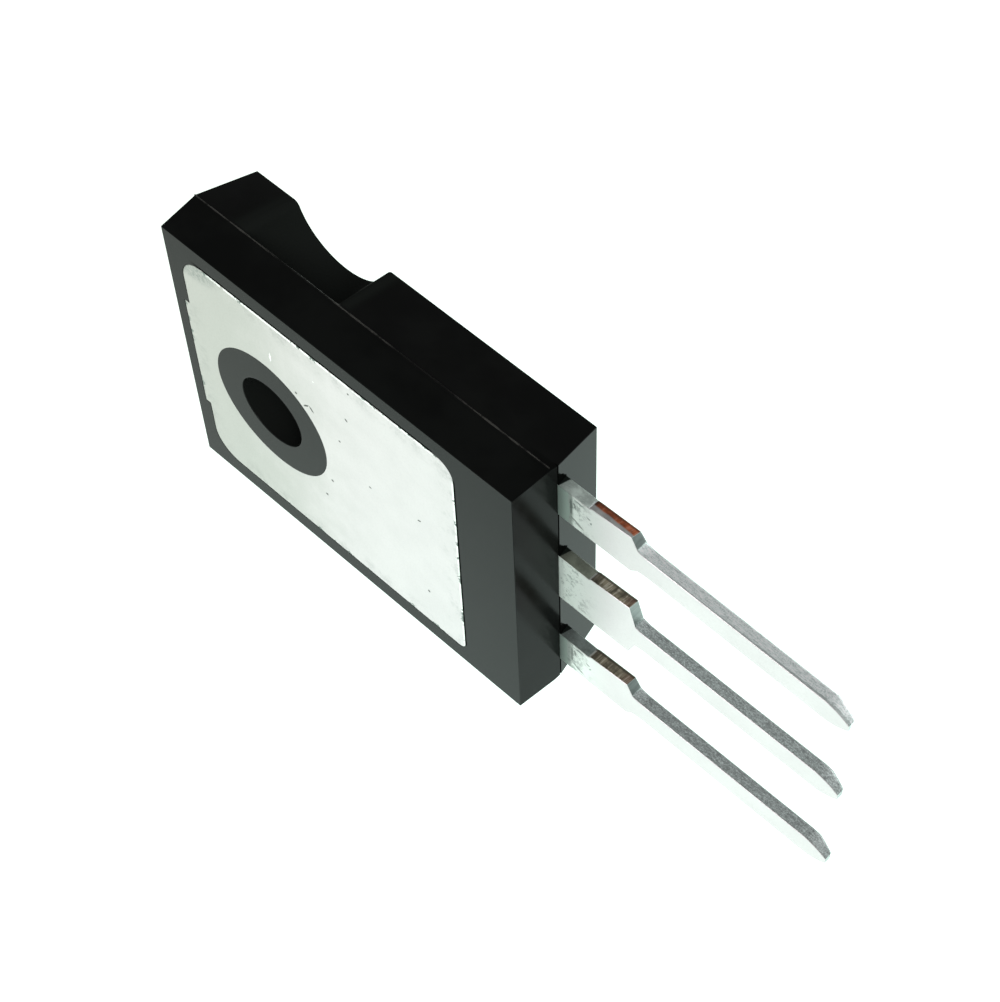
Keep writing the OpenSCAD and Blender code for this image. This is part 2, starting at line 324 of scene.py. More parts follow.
def diamond_bar(start, stop, wide, deep, cuts=0):
    """A bar between two points with a rhombus section: wide along Y, deep across."""
    bm = bmesh.new()
    span = Vector(stop) - Vector(start)
    turn = Vector((1, 0, 0)).rotation_difference(span).to_matrix().to_4x4()
    section = Matrix.Diagonal((span.length, wide / math.sqrt(2), deep / math.sqrt(2), 1))
    place = Matrix.Translation((Vector(start) + Vector(stop)) / 2)
    eighth = Matrix.Rotation(math.pi / 4, 4, "X")
    bmesh.ops.create_cube(bm, size=1.0, matrix=place @ turn @ section @ eighth)
    if cuts:
        long_edges = [e for e in bm.edges if e.calc_length() > span.length / 2]
        bmesh.ops.subdivide_edges(bm, edges=long_edges, cuts=cuts, use_grid_fill=True)
    return bm


def to_object(bm, name):
    """A mesh object from a bmesh, which is freed."""
    mesh = bpy.data.meshes.new(name)
    bm.to_mesh(mesh)
    bm.free()
    obj = bpy.data.objects.new(name, mesh)
    bpy.context.scene.collection.objects.link(obj)
    return obj


def combined(obj, tools, operation):
    """Cuts or adds each tool, and removes the tools."""
    for bm in tools:
        tool = to_object(bm, "tool")
        modifier = obj.modifiers.new("combine", "BOOLEAN")
        modifier.operation = operation
        modifier.solver = "EXACT"
        modifier.object = tool
        bpy.context.view_layer.update()
        made = obj.evaluated_get(bpy.context.evaluated_depsgraph_get())
        mesh = bpy.data.meshes.new_from_object(made)
        obj.modifiers.clear()
        old = obj.data
        obj.data = mesh
        bpy.data.meshes.remove(old)
        spent = tool.data
        bpy.data.objects.remove(tool)
        bpy.data.meshes.remove(spent)
    return obj


def reshaped(obj, change):
    """Applies a function to the object's mesh as a bmesh."""
    bm = bmesh.new()
    bm.from_mesh(obj.data)
    bmesh.ops.remove_doubles(bm, verts=bm.verts[:], dist=WELD)
    bmesh.ops.dissolve_degenerate(bm, edges=bm.edges[:], dist=WELD)
    change(bm)
    bm.to_mesh(obj.data)
    bm.free()


def rounded(bm, edges, offset, segments):
    """Rounds edges with a bevel."""
    bmesh.ops.bevel(
        bm, geom=edges, offset=offset, segments=segments, profile=0.5, affect="EDGES",
        material=-1, clamp_overlap=False,
    )


def sharp_edges(bm, least):
    """Edges whose faces turn by more than least degrees."""
    limit = math.radians(least)
    return [e for e in bm.edges if len(e.link_faces) == 2 and e.calc_face_angle() > limit]


def finish_piece(obj, name, materials, replaced=()):
    """Scales a piece to metres, shades it and gives it its materials and body."""
    obj.name = name
    obj.data.name = name

    def shade(bm):
        turned_out(bm)
        for face in bm.faces:
            face.smooth = True
        for edge in sharp_edges(bm, CREASE):
            edge.smooth = False
        for edge in sharp_edges(bm, FLAT_CREASE):
            if min(face.calc_area() for face in edge.link_faces) > FLAT_AREA:
                edge.smooth = False
        bmesh.ops.scale(bm, verts=bm.verts[:], vec=(1 / MM, 1 / MM, 1 / MM))

    reshaped(obj, shade)
    for material in materials:
        obj.data.materials.append(material)
    weighted = obj.modifiers.new("flat faces first", "WEIGHTED_NORMAL")
    weighted.keep_sharp = True
    weighted.mode = "FACE_AREA"
    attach(obj, "root")
    if replaced:
        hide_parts(*replaced)
    return obj


# Material tools


class Nodes:
    """A short way to write the nodes of a material or a world. In a material, place is the
    point in object coordinates in millimetres, and parts are its x, y and z."""

    def __init__(self, name, kind="materials", shader="Principled BSDF"):
        self.owner = getattr(bpy.data, kind).new(name)
        self.owner.use_nodes = True
        self.tree = self.owner.node_tree
        self.shader = self.tree.nodes[shader]
        if kind == "materials":
            self.place = self.stretched(self.add("TexCoord").outputs["Object"], (MM, MM, MM))
            self.parts = self.add("SeparateXYZ", {"Vector": self.place}).outputs[:]

    def add(self, kind, inputs=None, **settings):
        """A node with its settings and inputs; an input that is a socket is linked."""
        node = self.tree.nodes.new("ShaderNode" + kind)
        for key, value in settings.items():
            setattr(node, key, value)
        for key, value in (inputs or {}).items():
            self.put(node.inputs[key], value)
        return node

    def put(self, socket, value):
        """Links or sets one input."""
        if isinstance(value, bpy.types.NodeSocket):
            self.tree.links.new(value, socket)
        else:
            socket.default_value = value

    def stretched(self, place, scale):
        """A vector with its own scale along each axis."""
        return self.add("Mapping", {"Vector": place, "Scale": scale}).outputs["Vector"]

    def noise(self, scale, detail, roughness, stretch=None):
        """Noise from 0 to 1, with scale in features per millimetre, if it isn't stretched."""
        place = self.stretched(self.place, stretch) if stretch else self.place
        inputs = {"Vector": place, "Scale": scale, "Detail": detail, "Roughness": roughness}
        return self.add("TexNoise", inputs).outputs["Fac"]

    def math(self, operation, a, b=0.0, c=0.0):
        """One sum of two or three numbers."""
        return self.add("Math", {0: a, 1: b, 2: c}, operation=operation).outputs[0]

    def times(self, first, *others):
        """The product of two or more numbers."""
        for other in others:
            first = self.math("MULTIPLY", first, other)
        return first

    def times_plus(self, a, b, c):
        """The sum a * b + c."""
        return self.math("MULTIPLY_ADD", a, b, c)

    def minus(self, a, b):
        """The sum a - b."""
        return self.math("SUBTRACT", a, b)

    def larger(self, a, b):
        """The larger of two numbers."""
        return self.math("MAXIMUM", a, b)

    def hypotenuse(self, a, b):
        """The long side of a right-angled triangle."""
        return self.math("SQRT", self.times_plus(a, a, self.times(b, b)))

    def step(self, value, low, high, out_low=0.0, out_high=1.0):
        """A smooth ramp of a number."""
        inputs = {"Value": value, "From Min": low, "From Max": high}
        inputs.update({"To Min": out_low, "To Max": out_high})
        return self.add("MapRange", inputs, interpolation_type="SMOOTHSTEP").outputs["Result"]

    def fade(self, value, low, high, top=1.0):
        """A smooth ramp from top down to 0."""
        return self.step(value, low, high, top, 0.0)

    def between(self, value, start, full, fading, end):
        """1 between two smooth ends: full to fading."""
        return self.times(self.step(value, start, full), self.fade(value, fading, end))

    def shaded(self, value, rgb, first, last, low=0.35, high=0.65):
        """A colour that goes from its first share to its last as a value goes from low to high."""
        return self.mix(self.step(value, low, high), rgba(rgb, first), rgba(rgb, last))

    def mix(self, amount, a, b):
        """A mix of two colours."""
        node = self.add("Mix", data_type="RGBA")
        self.put(node.inputs["Factor"], amount)
        self.put(node.inputs[6], a)
        self.put(node.inputs[7], b)
        return node.outputs[2]

    def layered(self, tone, *coats):
        """A colour with coats laid over it, each (amount, colour)."""
        for amount, coat in coats:
            tone = self.mix(amount, tone, coat)
        return tone

    def stroke(self, place, mark):
        """A short mark on a face across Y: (x, z, half length, half width, degrees)."""
        x, z, half_length, half_width, turn = mark
        inputs = {"Vector": place, "Location": (x, 0, z), "Rotation": (0, math.radians(turn), 0),
                  "Scale": (half_length, MM, half_width)}
        local = self.add("Mapping", inputs, vector_type="TEXTURE").outputs["Vector"]
        away = self.add("VectorMath", {0: local}, operation="LENGTH").outputs["Value"]
        return self.fade(away, 0.6, 1.1)

    def strokes(self, marks):
        """The union of several marks, with wavering outlines."""
        cloud = self.add("TexNoise", {"Vector": self.place, "Scale": 6.0, "Detail": 2.0})
        inputs = {0: cloud.outputs["Color"], 1: (0.5, 0.5, 0.5)}
        shift = self.add("VectorMath", inputs, operation="SUBTRACT").outputs["Vector"]
        inputs = {0: shift, 1: (0.12, 0, 0.12), 2: self.place}
        wavy = self.add("VectorMath", inputs, operation="MULTIPLY_ADD").outputs["Vector"]
        total = 0.0
        for mark in marks:
            total = self.larger(self.stroke(wavy, mark), total)
        return total

    def bump(self, height, distance, strength):
        """A bump whose full height is distance, in millimetres."""
        inputs = {"Height": height, "Distance": distance / MM, "Strength": strength}
        return self.add("Bump", inputs).outputs["Normal"]

    def set(self, **inputs):
        """Sets or links inputs of the shader; a name's underscores are spaces."""
        for key, value in inputs.items():
            self.put(self.shader.inputs[key.replace("_", " ")], value)


def rgba(rgb, share=1.0):
    """A colour made lighter or darker by a share, with alpha."""
    return (rgb[0] * share, rgb[1] * share, rgb[2] * share, 1.0)


def end_face_dullness(n):
    """How much gloss is taken off the lead end: a little behind the leads, and nearly all
    in the corners just above them, where the dull spots are painted shade."""
    size = chosen("leads")
    back, front = lead_heights()
    x, y, z = n.parts
    end = body_box()[1].x
    on_end = n.times(n.step(x, end - 1.5, end - 1.0), n.step(y, 0.02, 0.05))
    behind = n.fade(y, back - 0.05, back, 0.22)
    ragged = n.times_plus(n.noise(4.0, 2.0, 0.5), 0.2, -0.1)
    slope = n.times_plus(n.minus(y, back), 1.15, ragged)
    painted_shade_spots = 0.0
    # painted shade: dull, dark spots on the lead end in the corners just above each lead
    for middle in (size.pitch, 0.0, -size.pitch):
        neck = size.outer_neck if middle else size.centre_neck
        above = n.minus(z, middle + neck / 2)
        painted_shade_spot = n.fade(n.math("ADD", above, slope), 0.7, 0.78)
        painted_shade_spots = n.larger(n.times(painted_shade_spot, n.step(above, -0.3, -0.2)), painted_shade_spots)
    beside = n.between(y, back - 0.02, back, front - 0.08, front)
    return n.times(on_end, n.larger(n.times(painted_shade_spots, beside, 0.95), behind))


def tab_gap(n):
    """The dull line in the compound beside the tab's upper edge and its edge at the leads."""
    t = chosen("tab")
    low, high = body_box()
    x, y, z = n.parts
    half = high.z - t.side_margin
    wander = n.times_plus(n.noise(1.5, 3.0, 0.6), 0.09, -0.045)
    beyond = n.math("ADD", n.minus(z, half), wander)
    upper = n.times(
        n.between(beyond, -0.06, -0.02, t.bleed, t.bleed + 0.05),
        n.between(x, low.x + 1.6, low.x + 2.4, high.x - 4.6, high.x - 4.2),
    )
    beyond = n.minus(x, high.x - t.lead_margin)
    ends = n.times(
        n.fade(n.times_plus(wander, 0.4, beyond), t.bleed - 0.03, t.bleed + 0.01),
        n.step(beyond, -0.05, -0.02), n.between(z, 0.3 - half, 0.5 - half, half - 1.0, half - 0.7),
    )
    return n.times(n.larger(upper, ends), n.fade(y, 0.02, 0.05))


def compound_material():
    """Black moulding compound: fine spark-eroded grain and faint flow clouds, duller in the
    notches, beside the tab and on the lead end, with painted light on the hole's wall and
    painted shade in the lead end's dull corners above the leads."""
    finish = chosen("finishes")
    s = chosen("moulding")
    high = body_box()[1]
    n = Nodes("moulding_compound")
    x, y, z = n.parts
    cloud = n.noise(0.35, 3.0, 0.6)
    grain = n.noise(9.0, 3.0, 0.6)
    rough = n.step(cloud, 0.3, 0.7, finish.compound_roughness - 0.03, finish.compound_roughness + 0.05)
    beside = n.minus(high.z, n.math("ABSOLUTE", z))
    notch = n.times(
        n.fade(n.hypotenuse(x, beside), s.notch_r + 0.4, s.notch_r + 0.9),
        n.between(y, s.parting, s.parting + 0.2, high.y - 0.06, high.y - 0.02),
    )
    tone = n.layered(
        n.shaded(cloud, finish.compound, 0.8, 1.3), (notch, rgba(finish.compound, 3.0)),
        # painted light: the hole's wall is lightened 2.5 times
        (n.fade(n.hypotenuse(x, z), s.hole_r, s.hole_r + 0.1), rgba(finish.compound, 2.5)),
    )
    dull = n.times(n.larger(notch, tab_gap(n)), 0.93)
    dull = n.larger(dull, end_face_dullness(n))
    index = n.times_plus(dull, 1.0 - finish.compound_index, finish.compound_index)
    n.set(Base_Color=tone, Roughness=rough, Normal=n.bump(grain, 0.003, 0.5), IOR=index)
    return n.owner


FLASH_RUBBED = [(-3.4, 2.6), (4.2, 1.9), (12.2, 2.9)]  # place along X and half length


def flash_material():
    """The thin fin of compound at the parting line, rubbed paler in places."""
    n = Nodes("parting_flash")
    x = n.parts[0]
    rubbed = 0.1
    for middle, reach in FLASH_RUBBED:
        away = n.math("ABSOLUTE", n.minus(x, middle))
        rubbed = n.larger(n.step(away, reach * 0.5, reach * 1.2, 1.0, 0.1), rubbed)
    worn = n.times(n.step(n.noise(2.5, 3.0, 0.7), 0.36, 0.56, 0.2, 1.0), rubbed)
    n.set(Base_Color=n.mix(worn, FLASH, WORN_FLASH))
    n.set(Roughness=n.step(worn, 0.0, 1.0, 0.35, 0.6), IOR=n.step(worn, 0.0, 1.0, 1.1, 1.25))
    return n.owner


def from_body(n):
    """How far a point is beyond the body's end."""
    return n.minus(n.parts[0], body_box()[1].x)


def outside(n, root):
    """1 outside the body, 0 where a lead is deep inside it."""
    return n.step(root, -0.8, -0.6)


def reached(n, root, reach):
    """1 where resin has bled over a lead, which is from the body's end out to reach."""
    wavy = n.times_plus(n.noise(1.4, 4.0, 0.55), 0.5, root)
    return n.times(n.fade(wavy, reach + 0.22, reach + 0.28), outside(n, root))


def tab_film(n):
    """Where resin has bled over the tab's rim, and most at the gate's top corner."""
    t = chosen("tab")
    low, high = body_box()
    x, y, z = n.parts
    half = high.z - t.side_margin
    from_side = n.minus(half, n.math("ABSOLUTE", z))
    from_top = n.minus(x, low.x + t.top_margin - t.tongue_out)
    from_lead = n.minus(high.x - t.lead_margin, x)
    rim = n.math("MINIMUM", from_side, n.math("MINIMUM", from_top, from_lead))
    patches = n.step(n.noise(1.1, 4.0, 0.75), 0.5, 0.72, 0.0, 0.34)
    film = n.step(n.minus(patches, rim), 0.0, 0.05)
    speckle = n.step(n.noise(5.0, 4.0, 0.8), 0.35, 0.6)
    corner = n.stroke(n.place, (low.x + t.top_margin + 0.2, half - 0.1, 2.2, 1.1, 0))
    frost = n.step(n.noise(6.5, 4.0, 0.8), 0.42, 0.58, 0.16, 0.66)
    cloud = n.step(n.noise(0.9, 4.0, 0.7), 0.48, 0.62)
    smear = n.times(cloud, speckle, n.fade(rim, 0.1, 1.3, 0.3))
    film = n.larger(n.larger(film, n.times(corner, frost)), smear)
    end = high.x - t.lead_margin
    return n.times(film, n.fade(x, end + 0.1, end + 0.2), n.fade(y, 0.1, 0.2))


def painted_rim_highlight(n):
    """A painted highlight: a bright line just inside the tab's upper edge and its edge at the leads."""
    t = chosen("tab")
    low, high = body_box()
    x, y, z = n.parts
    inside = n.minus(high.z - t.side_margin, z)
    upper = n.between(x, low.x + 2.2, low.x + 3.0, high.x - 4.7, high.x - 4.2)
    upper = n.times(upper, n.fade(inside, t.rim + 0.05, t.rim + 0.1))
    to_lead = n.minus(high.x - t.lead_margin, x)
    lead_side = n.times(n.step(inside, 0.9, 1.2), n.between(to_lead, 0.0, 0.02, 0.06, 0.1))
    patchy = n.times(n.step(n.noise(1.7, 3.0, 0.6), 0.36, 0.44), n.fade(y, 0.1, 0.2))
    return n.times(n.larger(upper, lead_side), patchy)


TAB_SCRATCHES = [  # x, z, half length, half width, degrees
    (2.5, 2.78, 0.25, 0.06, -43), (2.82, 2.8, 0.22, 0.06, 52), (1.94, 3.13, 0.08, 0.07, 0),
    (3.54, -1.57, 0.09, 0.07, 20), (3.01, -3.06, 0.09, 0.07, 0), (6.0, 0.4, 0.07, 0.07, 0),
    (5.35, 6.15, 0.07, 0.07, 0), (5.0, 4.1, 0.1, 0.06, 60), (4.4, 2.1, 0.07, 0.07, 0),
    (9.1, -4.2, 0.07, 0.07, 0), (-2.3, 0.6, 0.07, 0.05, 0), (8.9, 0.9, 0.12, 0.045, -30),
]
TAB_NICKS = [(0.56, 4.3, 0.05, 0.34, 3), (3.2, 5.0, 0.05, 0.05, 0)]
LEAD_STAINS = [  # out from the body, up from the lead's middle, half length, half width, degrees
    (0.67, 0.2, 0.62, 0.08, 90), (0.98, -0.57, 0.42, 0.08, 26), (0.85, 0.45, 0.22, 0.06, 80),
    (1.56, 0.32, 0.13, 0.06, 20), (1.7, 0.1, 0.1, 0.05, -60), (1.1, 0.83, 0.3, 0.06, 0),
]


def tin_material(name, reach, share, on_tab=False, stains=()):
    """Dull tin plating with fine mottling: stained and specked near the body, under a film
    of resin out to reach, with dark stains on its back face. On the tab, painted shade
    darkens it towards the body's top end, and a painted highlight runs along its rim."""
    finish = chosen("finishes")
    n = Nodes(name)
    root = from_body(n)
    fine = n.noise(9.0, 4.0, 0.7)
    broad = n.noise(0.5, 3.0, 0.6)
    tone = n.shaded(broad, finish.tin, 0.95, 1.0, 0.3, 0.7)
    tone = n.mix(n.step(fine, 0.5, 0.8, 0.0, 0.3), tone, rgba(finish.tin, 0.85))
    near = n.times(n.fade(root, 0.4, 2.8, 0.95), outside(n, root))
    speck = n.times(n.step(n.noise(5.5, 3.0, 0.75), 0.6, 0.68), n.fade(root, 0.7, 1.9, 0.55))
    mottle = n.times(n.step(n.noise(1.9, 5.0, 0.8), 0.5, 0.62), n.fade(root, 1.0, 2.6, 0.7))
    stained = n.layered(
        rgba(finish.stain), (mottle, rgba(finish.film, 1.3)), (speck, rgba(finish.film, 0.5)),
    )
    if on_tab:
        # painted shade: the tab darker towards the body's top end
        painted_shade_to_top = n.fade(n.times_plus(broad, 4.0, root), -15.0, -7.0, 0.64)
        tone = n.layered(
            tone, (painted_shade_to_top, PAINTED_TAB_SHADE), (n.strokes(TAB_SCRATCHES), SCRATCH),
            # painted highlight along the tab's rim, then rubbed nicks
            (painted_rim_highlight(n), RUBBED_TIN_AND_HIGHLIGHT), (n.strokes(TAB_NICKS), RUBBED_TIN_AND_HIGHLIGHT),
        )
    wavy = n.times_plus(n.noise(3.0, 2.0, 0.5), 0.3, root)
    border = n.times(n.fade(wavy, reach + 0.24, reach + 0.46, 0.75 * share), outside(n, root))
    film = n.times(reached(n, root, reach), share)
    if on_tab:
        film = n.larger(film, tab_film(n))
    tone = n.layered(
        tone, (near, stained), (border, rgba(finish.film, 0.6)),
        (film, n.shaded(root, finish.film, 0.85, 1.5, 0.0, reach)),
    )
    if stains:
        back = lead_heights()[0]
        on_back = n.fade(n.parts[1], back + 0.05, back + 0.1, 0.7)
        tone = n.mix(n.times(n.strokes(stains), on_back), tone, rgba(finish.film, 0.5))
    rough = n.step(fine, 0.3, 0.7, finish.tin_roughness - 0.05, finish.tin_roughness + 0.06)
    n.set(Base_Color=tone, Roughness=n.times_plus(film, 0.12, rough))
    dull = n.larger(n.times(film, 0.75), n.times(near, 0.8))
    n.set(Metallic=n.minus(1.0, dull), Normal=n.bump(fine, 0.003, 0.6))
    return n.owner


def stamped_material(name, shade, rgb, shoulder, worked):
    """Plated stamped edges: drawn lines and fine grain as strong as worked, with painted shade
    along the rims at both faces, on the shoulder (which also has streaks across it) and in the
    corner at the body, under resin of the given colour out to the dam bar's cut."""
    finish = chosen("finishes")
    size = chosen("leads")
    back, front = lead_heights()
    n = Nodes(name)
    y = n.parts[1]
    root = from_body(n)
    lines = n.noise(1.0, 3.0, 0.7, (3.0, 20.0, 20.0))
    grain = n.noise(16.0, 3.0, 0.8)
    metal = rgba(finish.stamped, shade)
    edge = n.times_plus(lines, 0.05, y)
    # painted shade along the rims at the burr side and at the rolled front
    burr = n.fade(edge, back + 0.02, back + 0.1, 0.6)
    roll = n.step(edge, front - 0.12, front - 0.02, 0.0, 0.3)
    head = size.shoulder_at
    foot = head + size.shoulder_run
    # painted shade on the sloped shoulder, with streaks across it
    shoulder_shade_and_streaks = n.between(root, head - 0.02, head + 0.02, foot - 0.05, foot)
    across = n.noise(1.0, 2.0, 0.6, (0.5, 0.5, 9.0))
    dark = rgba(finish.stamped, shoulder)
    resin = n.layered(
        rgba(rgb, 0.65), (n.step(root, 0.0, 0.7), n.shaded(n.noise(2.2, 4.0, 0.65), rgb, 0.8, 1.35)),
        (n.step(grain, 0.5, 0.7, 0.0, 0.4), rgba(rgb, 1.6)),
    )
    film = reached(n, root, size.dam_start)
    # painted shade in the corner where the lead's top edge meets the body: black, with its specular
    # turned off
    corner = n.fade(n.times_plus(n.minus(y, back), -0.26, root), -0.02, 0.04)
    tone = n.layered(
        n.shaded(lines, metal, 1.0 - 0.34 * worked, 1.2),
        (n.step(grain, 0.52, 0.64, 0.0, 0.8 * worked), rgba(metal, 1.6)),
        (n.fade(grain, 0.36, 0.48, 0.8 * worked), rgba(metal, 0.45)),
        (n.larger(burr, roll), rgba(metal, 0.4)),
        (shoulder_shade_and_streaks, n.mix(across, rgba(dark, 0.6), rgba(dark, 1.4))),
        (film, resin), (corner, PAINTED_ROOT_SHADE),
    )
    n.set(Base_Color=tone, Roughness=n.step(lines, 0.3, 0.7, 0.4, 0.52), Normal=n.bump(lines, 0.01, 0.7))
    n.set(Metallic=n.times_plus(film, -0.8, 1.0), Specular_IOR_Level=n.times_plus(corner, -0.5, 0.5))
    return n.owner


def sheared_material(name, rgb, ribs, strip):
    """Bare copper where a tool sheared the lead: fine ribs across it, stains, a dark upper
    edge and a burnished strip on the burr side."""
    back, front = lead_heights()
    size = chosen("leads")
    n = Nodes(name)
    y = n.parts[1]
    along = n.minus(from_body(n), size.dam_start)
    across = n.noise(1.0, 2.0, 0.7, (8.0, 0.7, 0.7))
    cloud = n.noise(2.4, 3.0, 0.6)
    light = n.times(n.step(across, 0.54, 0.6, 0.0, 0.9 * ribs), n.step(cloud, 0.4, 0.55, 0.4, 1.0))
    top = n.times_plus(along, -0.05, back + strip)
    wavy = n.times_plus(cloud, 0.12, y)
    burnished = n.step(n.minus(top, wavy), -0.08, 0.02)
    tone = n.layered(
        n.shaded(cloud, rgb, 0.55, 1.25),
        (n.fade(across, 0.36, 0.48, 0.7 * ribs), rgba(rgb, 0.3)), (light, PALE_RIB),
        (n.step(along, 1.5, 2.1, 0.0, 0.45 * ribs), RED_COPPER),
        (n.fade(along, 0.1, 0.6, 0.75), rgba(rgb, 0.4)),
        (n.fade(along, 0.08, 0.12, ribs), TINNED_EDGE),
        (n.fade(along, 0.1, 0.14, 1.0 - ribs), rgba(rgb, 0.1)),
        (burnished, n.mix(cloud, BURNISHED_DARK, BURNISHED_LIGHT)),
        (n.step(y, front - 0.2, front - 0.12, 0.0, 0.75), rgba(rgb, 0.2)),
    )
    n.set(Base_Color=tone, Roughness=n.step(across, 0.3, 0.7, 0.45, 0.6), Metallic=0.85)
    n.set(Normal=n.bump(across, 0.012, 0.8))
    return n.owner


# Shapes


def body_block(s, low, high, plane):
    """The drafted body, cut out of a block by its sloped planes."""
    bm = bmesh.new()
    size = high - low
    stretch = Matrix.Diagonal((size.x + BLOCK_ROOM, size.y, size.z + BLOCK_ROOM, 1.0))
    bmesh.ops.create_cube(bm, size=1.0, matrix=Matrix.Translation((low + high) / 2) @ stretch)
    back = -s.rear_draft
    slopes = [((high.x, plane, 0), (1, 0), s.end_draft), ((high.x, plane, 0), (1, 0), back),
              ((low.x, s.parting, 0), (-1, 0), s.top_draft), ((low.x, s.parting, 0), (-1, 0), back)]
    for side in (1, -1):
        point = (0, s.parting, side * high.z)
        slopes += [(point, (0, side), s.side_draft), (point, (0, side), back)]
    for point, (x, z), draft in slopes:
        normal = Vector((x * math.cos(draft), math.sin(draft), z * math.cos(draft)))
        cut = bmesh.ops.bisect_plane(
            bm, geom=everything(bm), plane_co=point, plane_no=normal, clear_outer=True,
        )
        bmesh.ops.contextual_create(bm, geom=only(bmesh.types.BMEdge, cut["geom_cut"]))
    return turned_out(bm)


def notch_loop(bm, s, high, side, y):
    """The notch's outline at one height: its round wall, its rounded mouth and a run out
    past the body's side."""
    radius = s.notch_r - (high.y - y) * math.tan(s.notch_draft)
    inwards = (y - s.parting) * math.tan(s.side_draft)
    mouth = s.notch_mouth
    centre_x = math.sqrt((radius + mouth) ** 2 - (inwards + mouth) ** 2)
    lowest = math.atan2(inwards + mouth, centre_x)
    points = [(centre_x, -OVER), (centre_x, inwards)]
    for i in range(1, MOUTH_STEPS + 1):
        turn = math.pi / 2 + (math.pi / 2 - lowest) * i / MOUTH_STEPS
        points.append((centre_x + mouth * math.cos(turn), inwards + mouth - mouth * math.sin(turn)))
    for i in range(1, WALL_STEPS + 1):
        turn = lowest + (math.pi - 2 * lowest) * i / WALL_STEPS
        points.append((radius * math.cos(turn), radius * math.sin(turn)))
    points += [(-x, depth) for x, depth in points[MOUTH_STEPS + 1:0:-1]] + [(-centre_x, -OVER)]
    kept = []
    for x, depth in points:
        if not kept or math.dist(kept[-1], (x, depth)) > WELD:
            kept.append((x, depth))
    verts = [bm.verts.new((x, y, side * (high.z - depth))) for x, depth in kept]
    return [bm.edges.new((verts[i - 1], verts[i])) for i in range(len(verts))]


def hole_rims(bm, s):
    """The round edges at both ends of the mounting hole."""
    reach = s.hole_r + WELD
    return [e for e in sharp_edges(bm, 60) if all(math.hypot(v.co.x, v.co.z) < reach for v in e.verts)]


def notch_cutter(s, high, side):
    """What the mould's pin leaves out of one long side."""
    bm = bmesh.new()
    loops = [notch_loop(bm, s, high, side, y) for y in (s.parting, high.y + OVER)]
    bmesh.ops.bridge_loops(bm, edges=loops[0] + loops[1])
    for loop in loops:
        bmesh.ops.contextual_create(bm, geom=loop)
    return turned_out(bm)


def tab_points(t, low, high, grow):
    """The tab's outline as (x, z) points, grown by the same width on every side."""
    x0 = low.x + t.top_margin - grow
    x1 = high.x - t.lead_margin + grow
    half = high.z - t.side_margin + grow
    tongue = t.tongue_width / 2
    return [(x0, -half), (x1, -half), (x1, half), (x0, half),
            (x0, tongue), (x0 - t.tongue_out, tongue), (x0 - t.tongue_out, -tongue), (x0, -tongue)]


def tab_form(t, low, high, rim):
    """The tab: its wide locking lip first, then the bare face drawn down from an inset."""
    grow = t.lip_width
    radii = [(0, (t.top_r + grow, 10)), (1, (t.source_r + grow, 6)),
             (2, (t.gate_r + grow, 8)), (3, (t.top_r + grow, 10))]
    lip_y = t.thickness - t.lip_thickness
    bm = drawn_plate(tab_points(t, low, high, grow), lip_y, t.thickness, radii)
    under = [f for f in bm.faces if f.normal.y < -0.9]
    bmesh.ops.inset_region(bm, faces=under, thickness=grow, use_even_offset=True)
    extruded(bm, under, (0, -lip_y, 0))
    turned_out(bm)
    if rim:
        edge = [e for e in sharp_edges(bm, 60) if all(abs(v.co.y) < 1e-6 for v in e.verts)]
        rounded(bm, edge, rim, 3)
    return bm


def lead_form(s, z, neck, roll, lean, span, tip, heights):
    """A straight lead from span's first x to its tip: its outline with the dam bar's stub,
    drawn up to its thickness, thinned at the tip, with a leaning cut and rolled edges.
    span's second x is where it leaves the body."""
    x0, end = span
    y0, y1 = heights
    half = s.width / 2
    dam = end + s.dam_start
    shoulder = end + s.shoulder_at
    fall = half - s.tip_width / 2
    arch_r = (s.tip_length**2 + fall**2) / (2 * fall)
    arch = arch_r * math.tan(math.asin(s.tip_length / arch_r) / 2)
    crease = shoulder + s.shoulder_run
    level = half + s.shoulder_foot
    straight = crease + s.foot_run
    points = [(x0, z + neck / 2)]
    radii = []
    for side, near, far in ((1, s.stub_near, s.stub_far), (-1, 0.0, 0.0)):
        row = [(dam, z + neck / 2), (dam + s.dam_step, z + neck / 2 + near)] if near else []
        row += [(shoulder, z + side * (neck / 2 + far)), (crease, z + side * level),
                (straight, z + side * half), (tip - s.tip_length + arch, z + side * half),
                (tip, z + side * s.tip_width / 2)]
        curves = {-3: (s.foot_run / 2, 4), -2: (arch * ARCH_SHARE, 9)}
        if side < 0:
            row = row[::-1]
            curves = {2: curves[-3], 1: curves[-2]}
        first = len(points) + (len(row) if side > 0 else 0)
        radii += [(first + i, curve) for i, curve in curves.items()]
        points += row
    points.append((x0, z - neck / 2))
    last = len(points) - 1
    bm = drawn_plate(points[::-1], y0, y1, [(last - i, curve) for i, curve in radii])
    thin_from = tip - s.thin_length
    bmesh.ops.bisect_plane(bm, geom=everything(bm), plane_co=(thin_from, 0, 0), plane_no=(1, 0, 0))
    for vert in bm.verts:
        if vert.co.y < (y0 + y1) / 2:
            continue
        vert.co.y -= s.tip_thinning * max(0, vert.co.x - thin_from) / s.thin_length
        if dam + WELD < vert.co.x < shoulder + WELD and vert.co.z > z + neck / 2 + WELD:
            vert.co.z -= lean * (0.5 + 0.5 * (vert.co.x - dam) / (shoulder - dam))
    bm.normal_update()
    for facing, radius, segments in ((-1, s.burr, 1), (1, roll, 4)):
        rounded(bm, face_edges(bm, facing, x0), radius, segments)
    return bm


